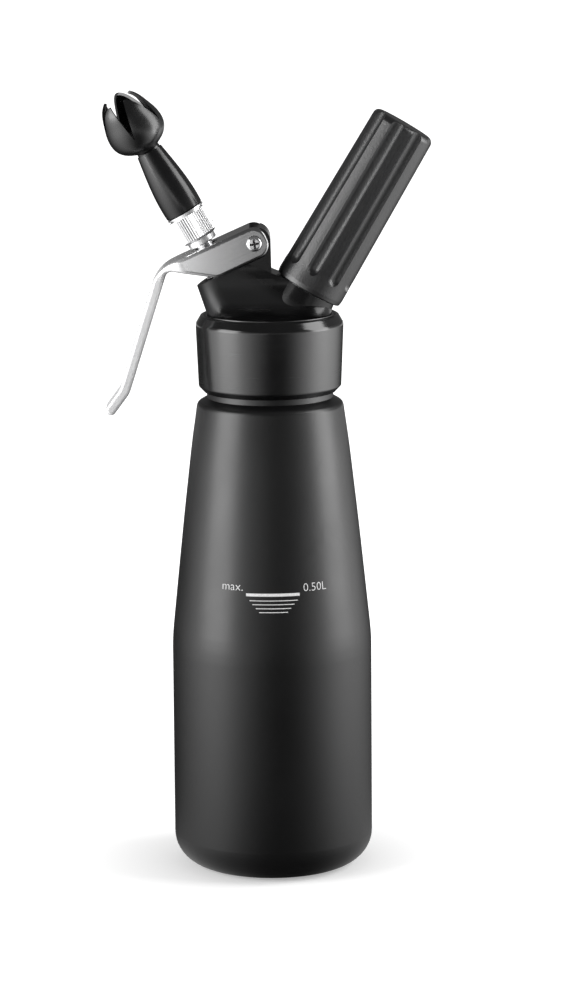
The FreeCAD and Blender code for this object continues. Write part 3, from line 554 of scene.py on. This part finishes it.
def surface_of(node):
    """What rays can be cast at to find points of a CAD node's surface."""
    mesh = nodes[node].data
    faces = [tuple(p.vertices) for p in mesh.polygons]
    return BVHTree.FromPolygons([v.co for v in mesh.vertices], faces)


bottle_skin = surface_of("bottle")


def on_bottle(angle, z):
    """Point of the print; the angle is in radians from the front, positive to the holder."""
    out = Vector((math.sin(angle), -math.cos(angle), 0))
    found = bottle_skin.ray_cast(out * RAY_START + UP * z, -out)[0]
    return found + out * INK_RISE


def bar(verts, faces, extent, thick):
    """Printed line round the front of the bottle."""
    z, left, right = extent
    steps = int((right - left) * BAR_STEPS_PER_DEGREE)
    first = len(verts)
    for i in range(steps + 1):
        angle = math.radians(left + (right - left) * i / steps)
        verts += [on_bottle(angle, z * MM + rise) for rise in (-thick / 2, thick / 2)]
    for i in range(steps):
        a = first + 2 * i
        faces.append((a, a + 2, a + 3, a + 1))


def fill_mark():
    """Generic level mark: a thick bar over four thin ones."""
    verts, faces = [], []
    bar(verts, faces, MAIN_BAR, MAIN_BAR_H)
    for thin_bar in THIN_BARS:
        bar(verts, faces, thin_bar, THIN_BAR_H)
    piece("fill_mark", verts, faces, ink, "bottle")


def flat_words(name, words):
    """Mesh of the words in the plane, one unit high."""
    curve = bpy.data.curves.new(name, "FONT")
    curve.body = words
    curve.size = 1.0
    curve.offset = STROKE_OFFSET
    curve.resolution_u = LETTER_STEPS
    source = new_object(name + "_source", curve)
    bpy.context.view_layer.update()
    evaluated = source.evaluated_get(bpy.context.evaluated_depsgraph_get())
    flat = bpy.data.meshes.new_from_object(evaluated)
    bpy.data.objects.remove(source)
    return flat


def lettering(name, words, left, right, foot):
    """Generic level lettering, wrapped round the bottle between two angles in degrees."""
    flat = flat_words(name, words)
    low = min(v.co.x for v in flat.vertices)
    high = max(v.co.x for v in flat.vertices)
    turn = math.radians(right - left) / (high - low)
    scale = turn * LETTERED_R
    verts = [on_bottle(math.radians(left) + (v.co.x - low) * turn, foot + v.co.y * scale)
             for v in flat.vertices]
    faces = [tuple(p.vertices) for p in flat.polygons]
    bpy.data.meshes.remove(flat)
    piece(name, verts, faces, ink, "bottle")


fill_mark()
lettering("level_word", "max.", left=-31.2, right=-17.8, foot=118.2 * MM)
lettering("level_volume", "0.50L", left=19.6, right=35.0, foot=117.7 * MM)


# ---------------------------------------------------------------- threads and spring
THREAD_STEPS = 60                       # sections in a turn
THREAD_FADE = 20                        # sections over which a ridge rises at its ends
# section of a ridge: where on the pitch, and which share of the rise
RIDGE = ((-0.42, 0.0), (-0.14, 1.0), (0.14, 1.0), (0.42, 0.0))
LIP = Vector((0, 0, BOTTLE_TOP))

WIRE_R = 0.55 * MM
COIL_R = 5.6 * MM
CLOSED_PITCH = 2.1 * WIRE_R             # the turns at both ends all but touch
SPRING_TURNS = 7
SPRING_STEPS = 48
WIRE_SIDES = 14


def wound(origin, axis, per_turn, sections):
    """Closed bar wound about an axis; a section is a ring of (distance from it, height on it)."""
    side = axis.cross(CROSSWISE).normalized()
    other = axis.cross(side)
    ring, last = len(sections[0]), len(sections) - 1
    verts, faces = [], []
    for i, section in enumerate(sections):
        angle = 2 * math.pi * i / per_turn
        out = side * math.cos(angle) + other * math.sin(angle)
        verts += [origin + out * reach + axis * height for reach, height in section]
    for i in range(last):
        for k in range(ring):
            a, b = ring * i + k, ring * i + (k + 1) % ring
            faces.append((a, b, b + ring, a + ring))
    faces += [tuple(reversed(range(ring))), tuple(ring * last + k for k in range(ring))]
    return verts, faces


def thread(name, origin, axis, material, body, root, crest, start, end, pitch):
    """Screw thread as one ridge wound about an axis, fading out at both ends."""
    count = int((end - start) / pitch * THREAD_STEPS)
    sections = []
    for i in range(count + 1):
        rise = (crest - root) * min(1.0, i / THREAD_FADE, (count - i) / THREAD_FADE)
        middle = start + pitch * i / THREAD_STEPS
        sections.append([(root + rise * lift, middle + part * pitch) for part, lift in RIDGE])
    verts, faces = wound(origin, axis, THREAD_STEPS, sections)
    piece(name, verts, faces, material, body, smooth=False)


def spring_sections(low, high):
    """Round sections of the wire from one end of the spring to the other."""
    open_turns = SPRING_TURNS - 2
    pitch = (high - low - 2 * WIRE_R - 2 * CLOSED_PITCH) / open_turns
    round_wire = [2 * math.pi * k / WIRE_SIDES for k in range(WIRE_SIDES)]
    sections = []
    for i in range(SPRING_TURNS * SPRING_STEPS + 1):
        turn = i / SPRING_STEPS
        closed = min(turn, 1) + max(turn - SPRING_TURNS + 1, 0)
        rise = CLOSED_PITCH * closed + pitch * min(max(turn - 1, 0), open_turns)
        middle = low + WIRE_R + rise
        sections.append([(COIL_R - WIRE_R * math.cos(a), middle - WIRE_R * math.sin(a))
                         for a in round_wire])
    return sections


def return_spring():
    """Coil under the cap with a closed turn at each end."""
    heights = [(v.co - APEX).dot(NOZZLE_AXIS) for v in nodes["valve_spring"].data.vertices]
    low, high = min(heights), max(heights)
    verts, faces = wound(APEX, NOZZLE_AXIS, SPRING_STEPS, spring_sections(low, high))
    made = piece("return_spring", verts, faces, spring_wire, "head")
    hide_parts("valve_spring")
    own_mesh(made)


thread("neck_thread", LIP, UP, thread_metal, "bottle",
       root=23.9 * MM, crest=24.85 * MM, start=-15.0 * MM, end=-2.2 * MM, pitch=3.0 * MM)
thread("collar_thread", LIP, UP, collar_coat, "head",
       root=25.5 * MM, crest=24.98 * MM, start=-14.0 * MM, end=-2.0 * MM, pitch=3.0 * MM)
return_spring()
thread("stub_thread", APEX, HOLDER_AXIS, thread_metal, "head",
       root=10.55 * MM, crest=10.92 * MM, start=HOLDER_FOOT + 1.0 * MM,
       end=HOLDER_FOOT + 8.2 * MM, pitch=1.5 * MM)


# ---------------------------------------------------------------- floor, world and lights
LEFT_BOX = Vector((-1.05, -0.42, 0.44))
RIGHT_BOX = Vector((1.1, -0.06, 0.60))
LIGHT_AIM = Vector((0, 0, 0.25))
FLOOR_REACH = 12.0
FLOOR_IN_GLOSS = 0.04                   # how bright gloss sees the floor where no box lights it
STUDIO_LIGHT = 0.42
STUDIO_IN_GLOSS = 0.13                  # the same for the studio round the object
BOXES_IN_GLOSS = 0.8


def empty_tree(owner):
    """The node tree of a material or world, with nothing in it."""
    owner.use_nodes = True
    owner.node_tree.nodes.clear()
    return owner.node_tree


def toward_boxes(tree, where):
    """1 in the directions in which the softboxes stand, falling softly to 0 between them."""
    flat = vector_math(tree, "NORMALIZE", share_in(tree, where, LEVEL))
    left, right = (dot(tree, flat, Vector((box.x, box.y, 0)).normalized())
                   for box in (LEFT_BOX, RIGHT_BOX))
    return math_node(tree, "POWER", ramp(tree, larger(tree, left, right), 0.25, 1.0), 2.7)


def seen_directly(tree, path):
    """1 for what the camera sees, also through glass."""
    return larger(tree, path["Is Camera Ray"], path["Is Transmission Ray"])


def floor_glow(tree, distance):
    """By the foot the floor keeps its shadow; further out it is plain white."""
    by_foot = spread(tree, distance, 0.34, 0.54, over=(0.038, 0.072))
    return blend_value(tree, ramp(tree, distance, 0.15, 0.42), by_foot, 1.0)


def floor_in_gloss(tree, where, distance):
    """Gloss sees the floor dim by the object and white far out, but for a strip in front."""
    across, depth, _ = split(tree, where)
    ahead = product(tree, depth, -1.0)
    to_the_left = spread(tree, across, 2.4, 0.2, over=(-0.24, -0.02))
    to_the_right = spread(tree, across, 0.2, 0.9, over=(0.02, 0.14))
    in_front = product(tree, ramp(tree, ahead, 1.5, 1.8), larger(tree, to_the_left, to_the_right))
    behind = spread(tree, depth, 0.0, 0.9, over=(1.5, 1.8))
    lit = spread(tree, distance, 0.46, 3.7, over=(0.0, 1.1))
    near = math_node(tree, "MULTIPLY_ADD", toward_boxes(tree, where), lit, FLOOR_IN_GLOSS)
    return larger(tree, near, larger(tree, behind, in_front))


def pale_floor():
    """Matte floor that glows for the camera and has its own look in gloss."""
    made = bpy.data.materials.new("pale_floor")
    tree = empty_tree(made)
    where = place(tree)
    distance = length(tree, where)
    path = add(tree, "LightPath").outputs
    patches = spread(tree, noise(tree, where, 3.0), 0.0, 1.0)
    matte = add(tree, "BsdfDiffuse", {"Color": blend_colour(tree, patches, *FLOOR_TONES)})
    strength = product(tree, seen_directly(tree, path), floor_glow(tree, distance))
    glow = add(tree, "Emission", {"Strength": strength})
    plain = add(tree, "AddShader", (matte.outputs[0], glow.outputs[0]))
    mirrored = add(tree, "Emission", {"Strength": floor_in_gloss(tree, where, distance)})
    surface = add(tree, "MixShader",
                  (path["Is Glossy Ray"], plain.outputs[0], mirrored.outputs[0]))
    put(tree, add(tree, "OutputMaterial").inputs["Surface"], surface.outputs[0])
    return made


def make_floor():
    corners = [(x * FLOOR_REACH, y * FLOOR_REACH, 0)
               for x, y in ((-1, -1), (1, -1), (1, 1), (-1, 1))]
    mesh = bpy.data.meshes.new("floor")
    mesh.from_pydata(corners, [], [(0, 1, 2, 3)])
    mesh.materials.append(pale_floor())
    floor = new_object("floor", mesh)


def make_world():
    """White studio with even light; gloss sees it bright at the sides and dim elsewhere."""
    world = bpy.data.worlds.new("studio")
    bpy.context.scene.world = world
    tree = empty_tree(world)
    direction = add(tree, "TexCoord").outputs["Generated"]
    overhead = ramp(tree, split(tree, direction)["Z"], 0.1, 0.5)
    around = math_node(tree, "MULTIPLY_ADD", toward_boxes(tree, direction), BOXES_IN_GLOSS,
                       STUDIO_IN_GLOSS)
    gloss = blend_value(tree, overhead, around, STUDIO_IN_GLOSS)
    path = add(tree, "LightPath").outputs
    light = blend_value(tree, path["Is Glossy Ray"], STUDIO_LIGHT, gloss)
    strength = blend_value(tree, seen_directly(tree, path), light, 1.0)
    shade = add(tree, "Background", {"Color": WHITE, "Strength": strength})
    put(tree, add(tree, "OutputWorld").inputs["Surface"], shade.outputs[0])


def softbox(name, where, width, height, radiance):
    """Rectangular light that faces the object."""
    light = bpy.data.lights.new(name, "AREA")
    light.shape = "RECTANGLE"
    light.size, light.size_y = width, height
    light.energy = math.pi * width * height * radiance
    made = new_object(name, light)
    made.location = where
    made.rotation_mode = "QUATERNION"
    made.rotation_quaternion = (LIGHT_AIM - where).to_track_quat("-Z", "Y")


# ---------------------------------------------------------------- camera
CAMERA_PLACE = Vector((0, -1.5, 0.43))
CAMERA_PITCH = math.radians(10.66)      # downwards
CAMERA_PAN = math.radians(0.19)
CAMERA_ROLL = math.radians(0.43)
CAMERA_LENS = 138.34
CAMERA_SENSOR = 36.0
CAMERA_CLIP = (0.05, 60.0)


def make_camera():
    """Long lens in front of the object, a little above it."""
    flat = math.cos(CAMERA_PITCH)
    ahead = Vector((math.sin(CAMERA_PAN) * flat, math.cos(CAMERA_PAN) * flat,
                    -math.sin(CAMERA_PITCH)))
    level = Vector((math.cos(CAMERA_PAN), -math.sin(CAMERA_PAN), 0))
    upright = level.cross(ahead)
    right = level * math.cos(CAMERA_ROLL) - upright * math.sin(CAMERA_ROLL)
    up = level * math.sin(CAMERA_ROLL) + upright * math.cos(CAMERA_ROLL)
    axes = Matrix((right, up, -ahead)).transposed()
    data = bpy.data.cameras.new("camera")
    data.sensor_width = CAMERA_SENSOR
    data.lens = CAMERA_LENS
    data.clip_start, data.clip_end = CAMERA_CLIP
    made = new_object("camera", data)
    made.matrix_world = Matrix.Translation(CAMERA_PLACE) @ axes.to_4x4()
    bpy.context.scene.camera = made


make_floor()
make_world()
softbox("softbox_left", LEFT_BOX, width=0.75, height=0.85, radiance=5.6)
softbox("softbox_right", RIGHT_BOX, width=0.7, height=1.15, radiance=5.4)
make_camera()
bpy.context.scene.view_settings.view_transform = "Standard"
